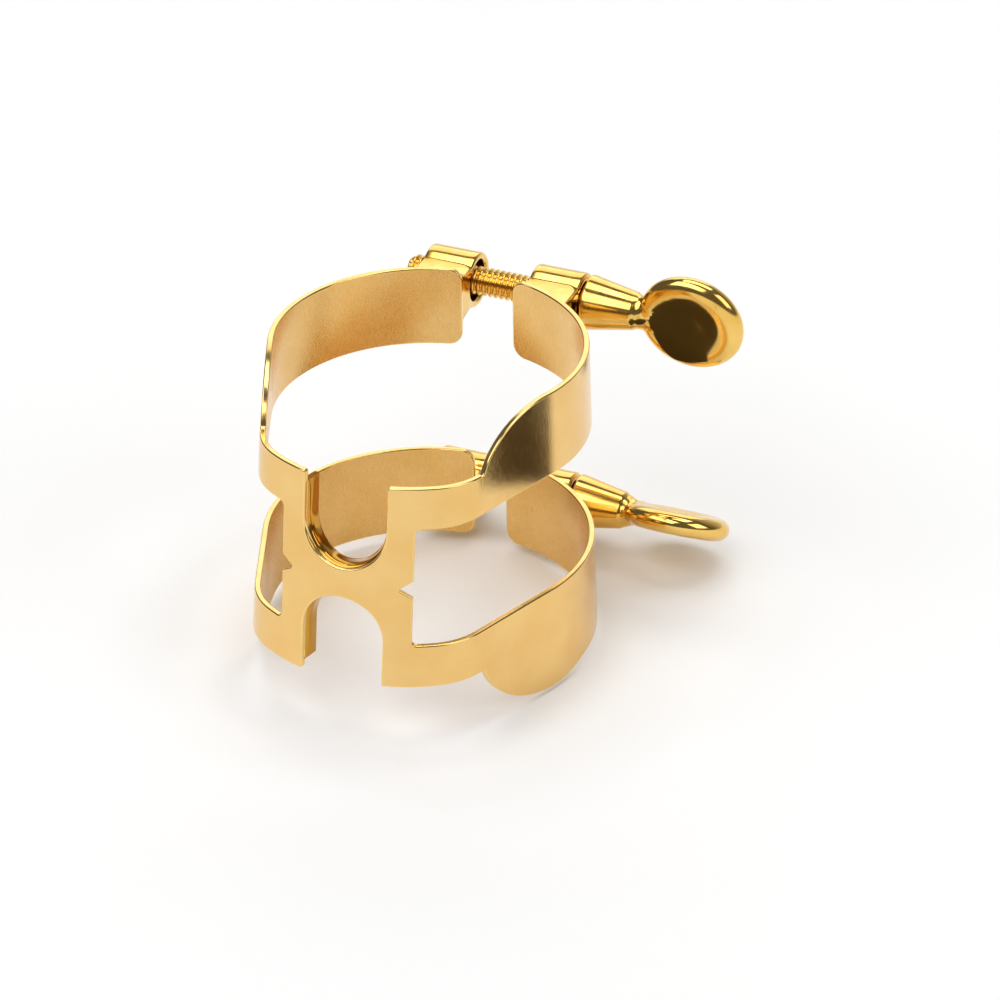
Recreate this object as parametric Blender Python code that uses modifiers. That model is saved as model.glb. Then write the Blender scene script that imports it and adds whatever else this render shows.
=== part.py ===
"""Two-screw metal ligature that clamps a reed on a clarinet or saxophone mouthpiece.

Frame: the mouthpiece's axis is Z with its tip upwards, the H-shaped reed plate faces -Y, the thumb
screws lie along X at the back with their heads at +X. The origin is on that axis at the plate's waist.

The band is one stamped sheet on the real object. It flexes along four creases beside the plate, so
it is split there into the plate and four arms, each arm hinged on its crease. Sheet pieces are drawn
as flat blanks, cut into strips and then wrapped on the tapered section.
"""
import math

import bmesh
import bpy
from mathutils import Matrix, Vector

MM = 0.001

# Section of the band's outer face at the waist, in mm: a front arc, a tight bend, a flat wall that
# leans outwards, and a circle round the back. For each mm up it shrinks by one share across and by
# another towards the plate, which follows the reed's slope.
TAPER_ACROSS = 0.0031
TAPER_FRONT = 0.0052
FRONT_RADIUS = 13.7
FRONT_APEX = 17.15
BEND_RADIUS = 6.0
SIDE_RADIUS = 13.3
WALL_HEADING = math.radians(69)
SHEET = 0.5
GAP = 0.3

# Reed plate, in mm: widths are measured along the face from the centre line.
SLOT_HALF = 3.52
SLOT_BOTTOM = 1.15
ARCH_HALF = 3.45
ARCH_TOP = -1.35
LEG_EDGE = 5.75
NOTCH_TIP = (4.55, -0.1)
NOTCH_MOUTH = (0.62, -0.82)
LIP_THICKNESS = 0.6
LIP_START = 0.35
LIP_DEPTH = 1.9
ARCH_LIP_END = -7.95

# Heights of the two bands, in mm: the narrow part beside the plate and the wide part round the back.
UPPER = {"narrow": 8.55, "inner": 5.06, "back": 5.5, "wide": 12.6, "bulge": 0.0, "clearance": 2.3}
LOWER = {"narrow": -8.6, "inner": -4.98, "back": -4.8, "wide": -13.1, "bulge": -0.6, "clearance": 1.5}
SHOULDER_LENGTH = 7.5
SHOULDER_OFFSET = 0.35
# Pulls on the shoulder's curve: mm along the band and shares of its rise.
SHOULDER_START = (0.6, 0.42)
SHOULDER_TOP = (3.2, -0.03)
BULGE_LENGTH = 6.0
END_CORNER = 1.2

# Posts and thumb screws, in mm.
SCREW_AXIS = {"upper": (16.5, 9.5), "lower": (16.9, -9.9)}
PADDLE_TURN = {"upper": math.radians(12), "lower": math.radians(61)}
POST_CENTRE = {"upper": 4.7, "lower": 3.9}
POST_LENGTH = 4.4
POST_RADIUS = 2.35
FOOT_WIDTH = 3.8
FOOT_REACH = 0.8
CUT_MARGIN = 1.0
BORE_RADIUS = {"right": 1.55, "left": 1.7}
SHANK_RADIUS = 1.2
SHANK_LENGTH = 15.8
CONE_LENGTH = 4.4
CONE_RADII = (2.35, 1.55)
NECK_RADIUS = 1.35
NECK_OVERLAP = 1.0
COLLAR_EDGE = 0.35
COLLAR_END = 0.3
TIP_CHAMFER = 0.4
NECK_CLEARANCE = 0.08
PADDLE_CENTRE = 9.05
PADDLE_RADIUS = 4.45
PADDLE_THICKNESS = 1.9
PADDLE_ROUND = 0.75

BRASS_SATIN = ("satin_gold_band", (0.86, 0.60, 0.25, 1.0), 0.38)
BRASS_POLISHED = ("polished_gold", (0.80, 0.50, 0.12, 1.0), 0.12)


def scene_objects_cleared():
    for thing in list(bpy.data.objects):
        bpy.data.objects.remove(thing, do_unlink=True)


def new_collection(name):
    group = bpy.data.collections.new(name)
    bpy.context.scene.collection.children.link(group)
    return group


def gold(name, colour, roughness):
    material = bpy.data.materials.new(name)
    material.use_nodes = True
    shader = material.node_tree.nodes["Principled BSDF"]
    shader.inputs["Base Color"].default_value = colour
    shader.inputs["Roughness"].default_value = roughness
    shader.inputs["Metallic"].default_value = 1.0
    return material


# --- the section ---------------------------------------------------------------------------------

def bend_geometry():
    """Centre of the tight bend, the front arc's last heading and the flat wall's length."""
    normal = Vector((math.sin(WALL_HEADING), -math.cos(WALL_HEADING)))
    along = Vector((math.cos(WALL_HEADING), math.sin(WALL_HEADING)))
    front_centre = Vector((0.0, FRONT_RADIUS - FRONT_APEX))
    reach = (SIDE_RADIUS - BEND_RADIUS) * normal - front_centre
    run = reach.dot(along)
    wall = run + math.sqrt(run ** 2 - reach.length_squared + (FRONT_RADIUS - BEND_RADIUS) ** 2)
    centre = front_centre + reach - wall * along
    spoke = centre - front_centre
    return centre, math.atan2(spoke.x, -spoke.y), wall


BEND_CENTRE, FRONT_HEADING, WALL_LENGTH = bend_geometry()
BEND_START = FRONT_RADIUS * FRONT_HEADING
BEND_END = BEND_START + BEND_RADIUS * (WALL_HEADING - FRONT_HEADING)
WALL_END = BEND_END + WALL_LENGTH
CREASE = BEND_END


def section(distance):
    """Point and outward normal of the waist's section, at a distance from the front centre line."""
    side = math.copysign(1.0, distance)
    run = abs(distance)
    centre = Vector((0.0, 0.0))
    radius = SIDE_RADIUS
    slide = 0.0
    if run <= BEND_START:
        heading = run / FRONT_RADIUS
        centre = Vector((0.0, FRONT_RADIUS - FRONT_APEX))
        radius = FRONT_RADIUS
    elif run <= BEND_END:
        heading = FRONT_HEADING + (run - BEND_START) / BEND_RADIUS
        centre = BEND_CENTRE
        radius = BEND_RADIUS
    elif run <= WALL_END:
        heading = WALL_HEADING
        slide = run - WALL_END
    else:
        heading = WALL_HEADING + (run - WALL_END) / SIDE_RADIUS
    normal = Vector((math.sin(heading), -math.cos(heading)))
    along = Vector((math.cos(heading), math.sin(heading)))
    point = centre + radius * normal + slide * along
    return Vector((side * point.x, point.y)), Vector((side * normal.x, normal.y))


def taper(height):
    return 1.0 - TAPER_ACROSS * height


def on_face(distance, height):
    """Point of the band's outer face and its normal, at a section distance and a height."""
    point, normal = section(distance)
    front = 1.0 - TAPER_FRONT * height if point.y < 0.0 else taper(height)
    return Vector((point.x * taper(height), point.y * front, height)), Vector((*normal, 0.0))


def band_end(band):
    """Distance along the section to a band's back end, its clearance from the middle plane."""
    heading = math.pi - math.asin(band["clearance"] / (SIDE_RADIUS * taper(band["wide"])))
    return WALL_END + SIDE_RADIUS * (heading - WALL_HEADING)


# --- flat blanks -----------------------------------------------------------------------------------

def arc(centre, radius, start, end, steps):
    """Points on an arc, angles in degrees."""
    points = []
    for step in range(steps + 1):
        angle = math.radians(start + (end - start) * step / steps)
        points.append((centre[0] + radius * math.cos(angle), centre[1] + radius * math.sin(angle)))
    return points


def bezier(start, pull_start, pull_end, end, steps):
    points = []
    for step in range(steps + 1):
        t = step / steps
        weights = ((1 - t) ** 3, 3 * t * (1 - t) ** 2, 3 * t * t * (1 - t), t ** 3)
        corners = (start, pull_start, pull_end, end)
        points.append(tuple(sum(k * c[axis] for k, c in zip(weights, corners)) for axis in (0, 1)))
    return points


def to_section(points):
    """True widths on the face become distances along the waist's section."""
    return [(width / taper(height), height) for width, height in points]


def mirrored(points):
    return [(-across, height) for across, height in reversed(points)]


def stamp(outline, near, far):
    """Closed flat solid of an outline: X along the section, Y the depth into the sheet, Z up."""
    curve = bpy.data.curves.new("blank", "CURVE")
    curve.dimensions = "2D"
    curve.fill_mode = "BOTH"
    curve.extrude = (far - near) / 2
    spline = curve.splines.new("POLY")
    spline.points.add(len(outline) - 1)
    for point, (across, height) in zip(spline.points, outline):
        point.co = (across, height, 0.0, 1.0)
    spline.use_cyclic_u = True
    holder = bpy.data.objects.new("blank", curve)
    bpy.context.scene.collection.objects.link(holder)
    bpy.context.view_layer.update()
    evaluated = holder.evaluated_get(bpy.context.evaluated_depsgraph_get())
    mesh = bpy.data.meshes.new_from_object(evaluated)
    bpy.data.objects.remove(holder, do_unlink=True)
    upright = Matrix.Rotation(math.radians(90), 4, "X")
    mesh.transform(Matrix.Translation((0.0, (near + far) / 2, 0.0)) @ upright)
    blank = bmesh.new()
    blank.from_mesh(mesh)
    bmesh.ops.remove_doubles(blank, verts=blank.verts, dist=1e-4)
    bmesh.ops.recalc_face_normals(blank, faces=blank.faces)
    blank.to_mesh(mesh)
    blank.free()
    return mesh


def joined(meshes):
    """Boolean union of flat blanks."""
    base = bpy.data.objects.new("base", meshes[0])
    bpy.context.scene.collection.objects.link(base)
    helpers = []
    for mesh in meshes[1:]:
        helper = bpy.data.objects.new("helper", mesh)
        bpy.context.scene.collection.objects.link(helper)
        helpers.append(helper)
        union = base.modifiers.new("union", "BOOLEAN")
        union.operation = "UNION"
        union.object = helper
    bpy.context.view_layer.update()
    result = bpy.data.meshes.new_from_object(base.evaluated_get(bpy.context.evaluated_depsgraph_get()))
    for thing in [base] + helpers:
        bpy.data.objects.remove(thing, do_unlink=True)
    return result


def strip_lines(start, end):
    """Distances at which a blank bends: close together round the tight bend, wider elsewhere."""
    lines = []
    for low, high, pitch in ((0.0, BEND_START, 1.15), (BEND_START, BEND_END, 0.6),
                             (WALL_END, WALL_END + SIDE_RADIUS * (math.pi - WALL_HEADING), 1.5)):
        count = math.ceil((high - low) / pitch)
        lines.extend(low + (high - low) * step / count for step in range(count + 1))
    both = sorted(set(lines) | {-line for line in lines})
    return [line for line in both if start + 0.05 < line < end - 0.05]


def wrap(mesh, name, group, material, origin=(0.0, 0.0, 0.0)):
    """Bend a flat blank on the tapered section and make it an object with its origin in mm."""
    blank = bmesh.new()
    blank.from_mesh(mesh)
    reach = [vertex.co.x for vertex in blank.verts]
    for line in strip_lines(min(reach), max(reach)):
        geometry = blank.verts[:] + blank.edges[:] + blank.faces[:]
        bmesh.ops.bisect_plane(blank, geom=geometry, dist=1e-5, plane_co=(line, 0.0, 0.0),
                               plane_no=(1.0, 0.0, 0.0))
    for vertex in blank.verts:
        across, depth, height = vertex.co
        point, normal = on_face(across, height)
        vertex.co = (point - normal * depth - Vector(origin)) * MM
    bmesh.ops.triangulate(blank, faces=blank.faces)
    bmesh.ops.recalc_face_normals(blank, faces=blank.faces)
    blank.to_mesh(mesh)
    blank.free()
    return placed(mesh, name, group, material, origin)


def placed(mesh, name, group, material, origin):
    thing = bpy.data.objects.new(name, mesh)
    mesh.materials.clear()
    mesh.materials.append(material)
    mesh.shade_smooth()
    mesh.set_sharp_from_angle(angle=math.radians(30))
    thing.location = Vector(origin) * MM
    group.objects.link(thing)
    return thing


# --- the band --------------------------------------------------------------------------------------

def plate_outline():
    """H-shaped plate with the four narrow roots of the bands, down to the creases."""
    seam = CREASE - GAP / 2
    slot_centre = (0.0, SLOT_BOTTOM + SLOT_HALF)
    arch_centre = (0.0, ARCH_TOP - ARCH_HALF)
    slot = arc(slot_centre, SLOT_HALF, -90, 0, 10) + [(SLOT_HALF, UPPER["narrow"])]
    leg = [(LEG_EDGE, UPPER["inner"]), (LEG_EDGE, NOTCH_MOUTH[0]), NOTCH_TIP,
           (LEG_EDGE, NOTCH_MOUTH[1]), (LEG_EDGE, LOWER["inner"])]
    arch = [(ARCH_HALF, LOWER["narrow"])] + arc(arch_centre, ARCH_HALF, 0, 90, 10)
    upper_root = [(seam, UPPER["narrow"]), (seam, UPPER["inner"])]
    lower_root = [(seam, LOWER["inner"]), (seam, LOWER["narrow"])]
    right = to_section(slot) + upper_root + to_section(leg) + lower_root + to_section(arch)
    left = mirrored(right)
    return right[:-1] + left[:-1]


def lip_outline(centre_height, half, outer_end, sign):
    """U-shaped strip just outside the slot's or the arch's edge; sign is 1 where it opens upwards."""
    centre = (0.0, centre_height)
    inner = arc(centre, half, -180 * sign, 0, 20)
    outer = arc(centre, half + LIP_THICKNESS, 0, -180 * sign, 20)
    points = [(-half, outer_end)] + inner + [(half, outer_end), (half + LIP_THICKNESS, outer_end)]
    return to_section(points + outer + [(-half - LIP_THICKNESS, outer_end)])


def front_plate(group, material):
    sheet = stamp(plate_outline(), 0.0, SHEET)
    slot_lip = lip_outline(SLOT_BOTTOM + SLOT_HALF, SLOT_HALF, UPPER["narrow"], 1)
    arch_lip = lip_outline(ARCH_TOP - ARCH_HALF, ARCH_HALF, ARCH_LIP_END, -1)
    lips = [stamp(outline, LIP_START, LIP_DEPTH) for outline in (slot_lip, arch_lip)]
    return wrap(joined([sheet] + lips), "front_plate", group, material)


def arm_outline(band, side):
    """One arm of a band: a shoulder widens it past the crease, and its back corners are rounded."""
    up = math.copysign(1.0, band["wide"])
    seam = CREASE + GAP / 2
    start = seam + SHOULDER_OFFSET
    rise = band["wide"] - band["narrow"]
    turn = start + SHOULDER_LENGTH
    widest = band["wide"] + band["bulge"]
    shoulder = bezier((start, band["narrow"]),
                      (start + SHOULDER_START[0], band["narrow"] + SHOULDER_START[1] * rise),
                      (start + SHOULDER_TOP[0], widest + SHOULDER_TOP[1] * rise), (turn, widest), 9)
    middle = turn + BULGE_LENGTH / 2
    shoulder += bezier((turn, widest), (middle, widest), (middle, band["wide"]),
                       (turn + BULGE_LENGTH, band["wide"]), 4)[1:]
    end = band_end(band)
    corner = END_CORNER
    if up > 0:
        outer = arc((end - corner, band["wide"] - corner), corner, 90, 0, 5)
        inner = arc((end - corner, band["back"] + corner), corner, 0, -90, 5)
    else:
        outer = arc((end - corner, band["wide"] + corner), corner, -90, 0, 5)
        inner = arc((end - corner, band["back"] - corner), corner, 0, 90, 5)
    points = [(seam, band["narrow"])] + shoulder + outer + inner
    points += [(turn, band["back"]), (seam, band["inner"])]
    if side == "right":
        return points
    return mirrored(points)


def crease_point(band, side):
    """Middle of the crease in mm, where an arm's hinge axis passes through the sheet."""
    height = (band["narrow"] + band["inner"]) / 2
    point, normal = on_face(CREASE, height)
    place = point - normal * SHEET / 2
    across = place.x if side == "right" else -place.x
    return (across, place.y, height)


def arm(level, band, side, group, material):
    blank = stamp(arm_outline(band, side), 0.0, SHEET)
    return wrap(blank, f"{level}_{side}_arm", group, material, crease_point(band, side))


# --- posts and screws ------------------------------------------------------------------------------

def lying_cylinder(name, radius, length, centre, sides):
    """Cylinder along X, sizes in mm."""
    bpy.ops.mesh.primitive_cylinder_add(vertices=sides, radius=radius * MM, depth=length * MM,
                                        location=Vector(centre) * MM,
                                        rotation=(0.0, math.radians(90), 0.0))
    thing = bpy.context.object
    thing.name = name
    return thing


def move_to(thing, group):
    for owner in list(thing.users_collection):
        owner.objects.unlink(thing)
    group.objects.link(thing)


def cutter_look(thing, cutters):
    thing.hide_render = True
    thing.display_type = "WIRE"
    move_to(thing, cutters)


def boolean(thing, operation, other):
    modifier = thing.modifiers.new(operation.lower(), "BOOLEAN")
    modifier.operation = operation
    modifier.object = other


def post(level, side, group, cutters, material):
    """Barrel across the band's back end, on a foot that is hollowed to sit on the band."""
    axis_y, axis_z = SCREW_AXIS[level]
    centre_x = POST_CENTRE[level] if side == "right" else -POST_CENTRE[level]
    name = f"{level}_{side}_post"
    barrel = lying_cylinder(name, POST_RADIUS, POST_LENGTH, (centre_x, axis_y, axis_z), 32)
    foot_depth = axis_y - SIDE_RADIUS * taper(axis_z) * FOOT_REACH
    bpy.ops.mesh.primitive_cube_add(size=MM)
    foot = bpy.context.object
    foot.name = f"{name}_foot"
    foot.scale = (POST_LENGTH, foot_depth, FOOT_WIDTH)
    foot.location = Vector((centre_x, axis_y - foot_depth / 2, axis_z)) * MM
    bpy.ops.object.transform_apply(location=False, rotation=False, scale=True)
    cutter_look(foot, cutters)
    boolean(barrel, "UNION", foot)
    half_height = POST_RADIUS + CUT_MARGIN
    radii = [(SIDE_RADIUS * taper(axis_z + rise) + GAP) * MM for rise in (-half_height, half_height)]
    bpy.ops.mesh.primitive_cone_add(vertices=128, radius1=radii[0], radius2=radii[1],
                                    depth=2 * half_height * MM, location=(0.0, 0.0, axis_z * MM))
    hollow = bpy.context.object
    hollow.name = f"{name}_seat_cutter"
    cutter_look(hollow, cutters)
    boolean(barrel, "DIFFERENCE", hollow)
    bore = lying_cylinder(f"{name}_bore_cutter", BORE_RADIUS[side], POST_LENGTH + 2 * CUT_MARGIN,
                          (centre_x, axis_y, axis_z), 24)
    cutter_look(bore, cutters)
    boolean(barrel, "DIFFERENCE", bore)
    barrel.data.materials.append(material)
    barrel.data.shade_smooth()
    barrel.data.set_sharp_from_angle(angle=math.radians(30))
    move_to(barrel, group)
    return barrel


def turned_mesh(name, profile, steps):
    """Object turned about its own Z axis from (radius, height) points in mm, listed top to bottom."""
    mesh = bpy.data.meshes.new(name)
    vertices = [(radius * MM, 0.0, height * MM) for radius, height in profile]
    edges = [(first, first + 1) for first in range(len(vertices) - 1)]
    mesh.from_pydata(vertices, edges, [])
    thing = bpy.data.objects.new(name, mesh)
    spin = thing.modifiers.new("turn", "SCREW")
    spin.axis = "Z"
    spin.steps = steps
    spin.render_steps = steps
    spin.use_merge_vertices = True
    spin.merge_threshold = 0.00001
    return thing


def screw_profile():
    """Neck, cone and shank of a thumb screw along its axis, with the cone's base at zero."""
    neck_end = PADDLE_CENTRE - PADDLE_RADIUS + NECK_OVERLAP
    neck_tip = PADDLE_THICKNESS / 2 - NECK_CLEARANCE
    return [(0.0, neck_end), (neck_tip, neck_end), (NECK_RADIUS, CONE_LENGTH),
            (CONE_RADII[1], CONE_LENGTH - COLLAR_END), (CONE_RADII[0], COLLAR_EDGE),
            (CONE_RADII[0] - COLLAR_EDGE, 0.0), (SHANK_RADIUS, 0.0),
            (SHANK_RADIUS, TIP_CHAMFER - SHANK_LENGTH),
            (SHANK_RADIUS - TIP_CHAMFER, -SHANK_LENGTH), (0.0, -SHANK_LENGTH)]


def paddle_profile():
    """Round paddle's half section: flat faces and a rounded rim."""
    half = PADDLE_THICKNESS / 2
    rim = arc((PADDLE_RADIUS - PADDLE_ROUND, half - PADDLE_ROUND), PADDLE_ROUND, 90, 0, 3)
    under = [(radius, -height) for radius, height in reversed(rim)]
    return [(0.0, half)] + rim + under + [(0.0, -half)]


def thumb_screw(level, group, cutters, material):
    """Turned screw along X with its round paddle, origin on the axis at the cone's base."""
    axis_y, axis_z = SCREW_AXIS[level]
    base_x = POST_CENTRE[level] + POST_LENGTH / 2 + GAP
    name = f"{level}_thumb_screw"
    screw = turned_mesh(name, screw_profile(), 24)
    group.objects.link(screw)
    screw.location = Vector((base_x, axis_y, axis_z)) * MM
    screw.rotation_euler = (0.0, math.radians(90), 0.0)
    paddle = turned_mesh(f"{name}_paddle", paddle_profile(), 40)
    cutters.objects.link(paddle)
    paddle.hide_render = True
    paddle.display_type = "WIRE"
    paddle.location = Vector((base_x + PADDLE_CENTRE, axis_y, axis_z)) * MM
    paddle.rotation_euler = (math.radians(90) + PADDLE_TURN[level], 0.0, 0.0)
    boolean(screw, "UNION", paddle)
    screw.data.materials.append(material)
    screw.data.shade_smooth()
    return screw


def main():
    scene_objects_cleared()
    group = new_collection("two_screw_ligature")
    cutters = new_collection("cutters")
    satin = gold(*BRASS_SATIN)
    polished = gold(*BRASS_POLISHED)
    front_plate(group, satin)
    for level, band in (("upper", UPPER), ("lower", LOWER)):
        for side in ("right", "left"):
            arm(level, band, side, group, satin)
            post(level, side, group, cutters, polished)
        thumb_screw(level, group, cutters, polished)


main()
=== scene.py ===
"""Detailed looks of a two-screw metal ligature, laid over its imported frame. Lengths here are in mm."""
import math

import bpy
from mathutils import Matrix, Vector
from mathutils.geometry import delaunay_2d_cdt


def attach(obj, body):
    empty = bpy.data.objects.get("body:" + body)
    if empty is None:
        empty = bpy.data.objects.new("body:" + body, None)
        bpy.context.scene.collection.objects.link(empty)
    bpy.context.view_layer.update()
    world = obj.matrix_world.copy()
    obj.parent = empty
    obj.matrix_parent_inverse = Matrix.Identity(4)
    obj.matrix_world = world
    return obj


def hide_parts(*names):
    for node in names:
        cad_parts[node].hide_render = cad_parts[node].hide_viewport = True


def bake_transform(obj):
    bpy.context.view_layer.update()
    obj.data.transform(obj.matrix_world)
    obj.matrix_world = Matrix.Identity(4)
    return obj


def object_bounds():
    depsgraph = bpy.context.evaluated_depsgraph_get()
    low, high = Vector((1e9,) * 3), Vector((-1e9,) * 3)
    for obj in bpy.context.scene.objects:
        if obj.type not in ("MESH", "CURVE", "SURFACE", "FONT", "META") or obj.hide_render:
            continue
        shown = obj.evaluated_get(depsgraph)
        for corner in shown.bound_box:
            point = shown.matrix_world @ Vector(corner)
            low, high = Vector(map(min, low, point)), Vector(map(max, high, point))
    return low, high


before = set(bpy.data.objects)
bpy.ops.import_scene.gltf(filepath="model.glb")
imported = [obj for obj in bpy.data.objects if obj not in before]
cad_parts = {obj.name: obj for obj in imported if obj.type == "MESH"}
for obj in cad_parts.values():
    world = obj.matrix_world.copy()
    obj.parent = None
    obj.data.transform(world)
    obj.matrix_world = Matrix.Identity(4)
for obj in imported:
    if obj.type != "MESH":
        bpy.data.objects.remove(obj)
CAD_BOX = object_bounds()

MM = 0.001

# Section of the band, as in the CAD: a front arc, a bend, a flat wall and a circle, tapering upwards.
TAPER_ACROSS = 0.0031
TAPER_FRONT = 0.0052
FRONT_RADIUS = 13.7
FRONT_APEX = 17.15
BEND_RADIUS = 6.0
SIDE_RADIUS = 13.3
WALL_HEADING = math.radians(69)
SHEET = 0.5

# Reed plate. A rail stands on the inside along the slot's and the arch's edges, as a lip.
SLOT_HALF = 3.52
SLOT_BOTTOM = 1.15
ARCH_HALF = 3.45
ARCH_TOP = -1.35
LEG_EDGE = 5.75
NOTCH_TIP = (4.55, -0.1)
NOTCH_MOUTH = (0.62, -0.82)
LIP_THICKNESS = 0.6
LIP_DEPTH = 1.9
ARCH_LIP_END = -7.95
EDGE_ROUND = 0.13
SLOT_LIP_DROP = 1.0
LIP_FADE = 0.9
LIP_FILLET = 0.25
INNER_INSET = 0.004
# The lip's wall below the sheet's edge, as (outwards, inwards, lean): a groove, then a crowned rail.
LIP_WALL = ((0.0, 0.33, 0.3), (-0.07, 0.39, 1.4), (-0.13, 0.44, 0.0), (-0.07, 0.49, -1.8),
            (0.01, 0.56, -0.9), (0.06, 0.68, -0.35), (0.08, 0.9, -0.06), (0.07, 1.15, 0.1),
            (0.03, 1.45, 0.16), (0.0, 1.68, 0.14))

UPPER = {"narrow": 8.55, "inner": 5.06, "back": 5.5, "wide": 12.6, "bulge": 0.0, "clearance": 2.3}
LOWER = {"narrow": -8.6, "inner": -4.98, "back": -4.8, "wide": -13.1, "bulge": -0.6, "clearance": 1.5}
SHOULDER_LENGTH = 7.5
SHOULDER_OFFSET = 0.5
# Pulls on the shoulder's curve: mm along the band and shares of its rise.
SHOULDER_START = (0.6, 0.42)
SHOULDER_TOP = (3.2, -0.03)
BULGE_LENGTH = 6.0
END_CORNER = 1.2
# Radii of the outline's corners, and how far out the narrow roots are drawn as straight edges.
OPEN_CORNER = 0.2
INNER_CORNER = 0.45
NOTCH_CORNER = 0.12
ROOT_REACH = 9.0
# The visible plate and arms meet short of the crease; for each arm two spots either side of the crease are
# worked out.
SEAM_SETBACK = 0.55
BLEND_SHIFTS = (-0.5, 1.1)
BLEND_HEIGHT = 6.8

# Posts and thumb screws.
SCREW_AXIS = {"upper": (16.5, 9.5), "lower": (16.9, -9.9)}
PADDLE_TURN = {"upper": math.radians(12), "lower": math.radians(61)}
POST_CENTRE = {"upper": 4.7, "lower": 3.9}
POST_LENGTH = 4.4
POST_RADIUS = 2.35
POST_ROUND = 0.25
FOOT_HALF = 1.9
FOOT_FLARE = 0.45
FOOT_SINK = 0.06
FOOT_SHARES = (0.25, 0.5, 0.7, 0.85, 0.94, 1.0)
BARREL_STEPS = 18
ROUND_ANGLES = (0, 22, 45, 68, 90)
SHARP_ANGLE = 50
BORE_RADIUS = {"right": 1.55, "left": 1.68}
# A bore's mouth, as (depth from the barrel's end, how much wider than the bore).
BORE_MOUTH = ((0.0, 0.3), (0.05, 0.18), (0.25, 0.0))
CONE_GAP = 0.3
SHANK_RADIUS = 1.2
SHANK_LENGTH = 15.8
THREAD_LENGTH = 11.0
THREAD_PITCH = 0.5
THREAD_DEPTH = 0.24
THREAD_SHARPNESS = 1.4
THREAD_RUNOUT = (0.3, 0.5)
TIP_CHAMFER = (0.45, 0.8)
SHANK_SIDES = 48
SHANK_SUNK = 0.5
CONE_LENGTH = 4.4
CONE_RADII = (2.35, 1.55)
CONE_ROUND = 0.28
COLLAR_FILLET = 0.3
STEM_FILLET = 0.7
NECK_RADII = (1.38, 0.88)
NECK_END = 5.6
PADDLE_CENTRE = 9.05
PADDLE_RADIUS = 4.45
PADDLE_HALF = 0.95
FLOOR_HALF = 0.65
DISH_FLAT = 1.0
RIM_MIDDLE = 3.3
HEAD_SIDES = 96
HEAD_REACH = 6.0

# Pitch of the outline's stations and of the points inside a face, across and up.
FINE = 0.4
FILL_PITCH = (0.5, 0.8)
# Clear strip kept inside a face's loop, and how near an edge has to be for that to be measured.
INSIDE_MARGIN = 0.2
NEARBY = 1.2
SEAM_STEPS = 5
# A sheet's faces by material, in the order of the list that its pieces are given. The rail's faces get a
# painted reflection of the reed.
OUTER_FACE, RIM_FACE, INNER_FACE, RAIL_PAINTED_REFLECTION_FACE = range(4)

# Each gold: its palest and warmest colour and its roughness.
SATIN = ((0.90, 0.605, 0.235, 1.0), (0.86, 0.545, 0.19, 1.0), 0.15)
LINING = ((0.88, 0.58, 0.22, 1.0), (0.84, 0.52, 0.17, 1.0), 0.26)
EDGE = ((0.90, 0.64, 0.25, 1.0), (0.86, 0.57, 0.18, 1.0), 0.14)
# The rail is given a darker, more amber gold than the rest of the band: painted reflection of the amber reed
# in the lip's wall.
RAIL_PAINTED_REED_REFLECTION = ((0.60, 0.31, 0.045, 1.0), (0.52, 0.25, 0.03, 1.0), 0.12)
POLISHED = ((0.90, 0.60, 0.17, 1.0), (0.84, 0.51, 0.11, 1.0), 0.12)

# Soft boxes: name, place in m, size in m, power. Dark cards: name, place in mm, facing, size in mm.
SOFT_BOXES = (("key", (-0.45, -0.95, 1.35), (2.0, 1.1), 16.5),
              ("fill", (1.4, -0.2, 0.9), (1.0, 1.0), 6.0),
              ("top", (0.0, 0.3, 1.7), (1.6, 0.9), 12.5),
              ("back", (-0.55, 1.35, 0.87), (1.5, 1.1), 6.0))
DARK_CARDS = (("side_flag", (21.4, -3.3, 4.9), (-0.773, -0.375, 0.513), (6.4, 8.1)),
              ("low_flag", (14.5, 14.1, 5.85), (0.323, 0.518, 0.792), (3.8, 5.8)))
CARD_COLOUR = (0.055, 0.045, 0.03, 1.0)
FLOOR_COLOUR = (0.97, 0.97, 0.97, 1.0)
FLOOR_DROP = 0.0004


# --- the section of the band -----------------------------------------------------------------------

def bend_geometry():
    """Centre of the tight bend, the front arc's last heading and the flat wall's length."""
    normal = Vector((math.sin(WALL_HEADING), -math.cos(WALL_HEADING)))
    along = Vector((math.cos(WALL_HEADING), math.sin(WALL_HEADING)))
    front_centre = Vector((0.0, FRONT_RADIUS - FRONT_APEX))
    reach = (SIDE_RADIUS - BEND_RADIUS) * normal - front_centre
    run = reach.dot(along)
    wall = run + math.sqrt(run ** 2 - reach.length_squared + (FRONT_RADIUS - BEND_RADIUS) ** 2)
    centre = front_centre + reach - wall * along
    spoke = centre - front_centre
    return centre, math.atan2(spoke.x, -spoke.y), wall


BEND_CENTRE, FRONT_HEADING, WALL_LENGTH = bend_geometry()
BEND_START = FRONT_RADIUS * FRONT_HEADING
CREASE = BEND_START + BEND_RADIUS * (WALL_HEADING - FRONT_HEADING)
WALL_END = CREASE + WALL_LENGTH
SEAM = CREASE - SEAM_SETBACK


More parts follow.
